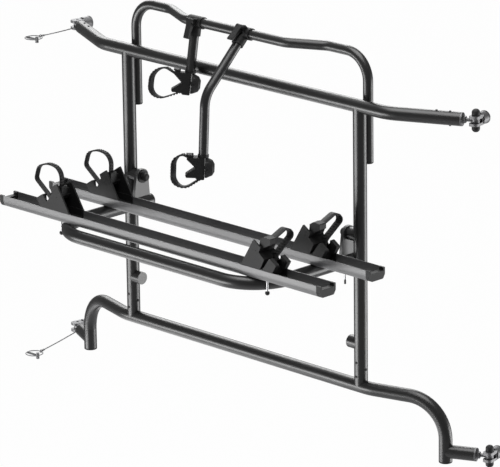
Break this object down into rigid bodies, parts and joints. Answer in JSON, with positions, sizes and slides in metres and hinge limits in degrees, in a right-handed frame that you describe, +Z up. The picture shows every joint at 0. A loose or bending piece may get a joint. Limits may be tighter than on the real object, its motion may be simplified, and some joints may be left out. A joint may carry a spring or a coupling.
{
  "type": "motorhome bike rack",
  "caption": "Rear-door cycle carrier in bent black tube: fold-up platform with channel rails, sliding wheel holders with ratchet straps, and swinging arms that end in strapped claws.",
  "frame": {"origin": "middle of the lower crossbar, on its axis", "axes": "X along the rack, to the right as seen from behind the vehicle; +Y towards the vehicle; +Z up"},
  "size_m": [1.6926, 0.5417, 1.1393],
  "materials": {
    "black_tube": "satin black powder coat",
    "bracket_grey": "satin mid-grey powder coat",
    "rail_grey": "satin grey anodised extrusion",
    "black_plastic": "moulded, finely textured",
    "strap_black": "soft ribbed strap",
    "silver_cast": "bare, lightly bead-blasted",
    "zinc_steel": "bright zinc plate"
  },
  "bodies": {
    "frame": {"left_post": "black_tube", "right_post": "black_tube", "upper_crossbar": "black_tube", "lower_crossbar": "black_tube", "top_bow": "black_tube", "tube_end_caps": "black_plastic", "lower_stubs": "black_tube", "hinge_stubs": "black_tube", "side_stubs": "black_tube", "end_plugs": "silver_cast", "end_nuts": "zinc_steel", "eye_bolts": "zinc_steel", "pivot_bolts": "black_plastic", "upper_lanyard": "zinc_steel", "upper_ring_pin": "zinc_steel", "upper_ring": "zinc_steel", "lower_lanyard": "zinc_steel", "lower_ring_pin": "zinc_steel", "lower_ring": "zinc_steel"},
    "upper_left_socket_body": {"upper_left_socket": "silver_cast"},
    "lower_left_socket_body": {"lower_left_socket": "silver_cast"},
    "upper_right_socket_body": {"upper_right_socket": "silver_cast", "upper_right_pin": "zinc_steel"},
    "lower_right_socket_body": {"lower_right_socket": "silver_cast", "lower_right_pin": "zinc_steel"},
    "platform": {"hinge_brackets": "bracket_grey", "platform_tube": "black_tube", "platform_tube_caps": "black_plastic", "front_rail": "rail_grey", "rear_rail": "rail_grey", "rail_end_caps": "black_plastic", "platform_bolts": "zinc_steel"},
    "front_left_holder_body": {"front_left_holder": "black_plastic", "front_left_strap": "strap_black"},
    "front_left_latch_body": {"front_left_latch": "black_plastic"},
    "front_right_holder_body": {"front_right_holder": "black_plastic", "front_right_strap": "strap_black"},
    "front_right_latch_body": {"front_right_latch": "black_plastic"},
    "rear_left_holder_body": {"rear_left_holder": "black_plastic", "rear_left_strap": "strap_black"},
    "rear_left_latch_body": {"rear_left_latch": "black_plastic"},
    "rear_right_holder_body": {"rear_right_holder": "black_plastic", "rear_right_strap": "strap_black"},
    "rear_right_latch_body": {"rear_right_latch": "black_plastic"},
    "first_arm_body": {"first_clamp": "black_plastic", "first_arm": "black_tube"},
    "first_lever_body": {"first_clamp_lever": "black_plastic"},
    "first_claw_body": {"first_claw": "black_plastic", "first_claw_strap": "strap_black"},
    "first_claw_latch_body": {"first_claw_latch": "black_plastic"},
    "first_knob_body": {"first_claw_knob": "black_plastic"},
    "second_arm_body": {"second_clamp": "black_plastic", "second_arm": "black_tube"},
    "second_lever_body": {"second_clamp_lever": "black_plastic"},
    "second_claw_body": {"second_claw": "black_plastic", "second_claw_strap": "strap_black"},
    "second_claw_latch_body": {"second_claw_latch": "black_plastic"},
    "second_knob_body": {"second_claw_knob": "black_plastic"}
  },
  "joints": [
    {"name": "upper_left_socket_swing", "type": "hinge", "parent": "frame", "child": "upper_left_socket_body", "pos_m": [-0.78625, 0.10457, 0.8], "axis": [0, 0, 1], "range_deg": [-40, 180]},
    {"name": "lower_left_socket_swing", "type": "hinge", "parent": "frame", "child": "lower_left_socket_body", "pos_m": [-0.8312, 0.11535, -0.143], "axis": [0, 0, 1], "range_deg": [-40, 180]},
    {"name": "upper_right_socket_swing", "type": "hinge", "parent": "frame", "child": "upper_right_socket_body", "pos_m": [0.78625, 0.10457, 0.8], "axis": [0, 0, 1], "range_deg": [-180, 40]},
    {"name": "lower_right_socket_swing", "type": "hinge", "parent": "frame", "child": "lower_right_socket_body", "pos_m": [0.8312, 0.11535, -0.143], "axis": [0, 0, 1], "range_deg": [-180, 40]},
    {"name": "platform_fold", "type": "hinge", "parent": "frame", "child": "platform", "pos_m": [0, 0, 0.433], "axis": [-1, 0, 0], "range_deg": [0, 30]},
    {"name": "front_left_holder_slide", "type": "slide", "parent": "platform", "child": "front_left_holder_body", "axis": [1, 0, 0], "range_m": [-0.12, 0.2]},
    {"name": "front_left_latch_turn", "type": "hinge", "parent": "front_left_holder_body", "child": "front_left_latch_body", "pos_m": [-0.3973, -0.3145, 0.4455], "axis": [0, 1, 0], "range_deg": [0, 70]},
    {"name": "front_right_holder_slide", "type": "slide", "parent": "platform", "child": "front_right_holder_body", "axis": [1, 0, 0], "range_m": [-0.2, 0.12]},
    {"name": "front_right_latch_turn", "type": "hinge", "parent": "front_right_holder_body", "child": "front_right_latch_body", "pos_m": [0.3991, -0.3145, 0.4575], "axis": [0, -1, 0], "range_deg": [0, 70]},
    {"name": "rear_left_holder_slide", "type": "slide", "parent": "platform", "child": "rear_left_holder_body", "axis": [1, 0, 0], "range_m": [-0.12, 0.2]},
    {"name": "rear_left_latch_turn", "type": "hinge", "parent": "rear_left_holder_body", "child": "rear_left_latch_body", "pos_m": [-0.3973, -0.1245, 0.4455], "axis": [0, 1, 0], "range_deg": [0, 70]},
    {"name": "rear_right_holder_slide", "type": "slide", "parent": "platform", "child": "rear_right_holder_body", "axis": [1, 0, 0], "range_m": [-0.2, 0.12]},
    {"name": "rear_right_latch_turn", "type": "hinge", "parent": "rear_right_holder_body", "child": "rear_right_latch_body", "pos_m": [0.3991, -0.1245, 0.4575], "axis": [0, -1, 0], "range_deg": [0, 70]},
    {"name": "first_arm_swing", "type": "hinge", "parent": "frame", "child": "first_arm_body", "pos_m": [-0.155, -0.021, 0.9367], "axis": [-1, 0, 0], "range_deg": [-2, 75]},
    {"name": "first_lever_turn", "type": "hinge", "parent": "first_arm_body", "child": "first_lever_body", "pos_m": [-0.155, -0.04448, 0.94476], "axis": [-1, 0, 0], "range_deg": [0, 90]},
    {"name": "first_claw_swivel", "type": "hinge", "parent": "first_arm_body", "child": "first_claw_body", "pos_m": [-0.155, -0.05047, 0.76396], "axis": [0, 0.1681, 0.9858], "range_deg": [-30, 90]},
    {"name": "first_claw_latch_turn", "type": "hinge", "parent": "first_claw_body", "child": "first_claw_latch_body", "pos_m": [-0.1785, -0.06759, 0.80137], "axis": [-0.702, 0.702, -0.1197], "range_deg": [0, 70]},
    {"name": "first_knob_turn", "type": "hinge", "parent": "first_claw_body", "child": "first_knob_body", "pos_m": [-0.155, -0.05047, 0.76396], "axis": [0.7122, 0.692, -0.118], "continuous": true},
    {"name": "second_arm_swing", "type": "hinge", "parent": "frame", "child": "second_arm_body", "pos_m": [0.038, -0.021, 0.9367], "axis": [-1, 0, 0], "range_deg": [-20, 70]},
    {"name": "second_lever_turn", "type": "hinge", "parent": "second_arm_body", "child": "second_lever_body", "pos_m": [0.038, -0.03522, 0.95705], "axis": [-1, 0, 0], "range_deg": [0, 90]},
    {"name": "second_claw_swivel", "type": "hinge", "parent": "second_arm_body", "child": "second_claw_body", "pos_m": [0.038, -0.18793, 0.58556], "axis": [0, 0.0595, 0.9982], "range_deg": [-90, 90]},
    {"name": "second_claw_latch_turn", "type": "hinge", "parent": "second_claw_body", "child": "second_claw_latch_body", "pos_m": [0.01465, -0.20918, 0.62088], "axis": [-0.7065, 0.7065, -0.0421], "range_deg": [0, 70]},
    {"name": "second_knob_turn", "type": "hinge", "parent": "second_claw_body", "child": "second_knob_body", "pos_m": [0.038, -0.18793, 0.58556], "axis": [0.7077, 0.7052, -0.042], "continuous": true}
  ]
}
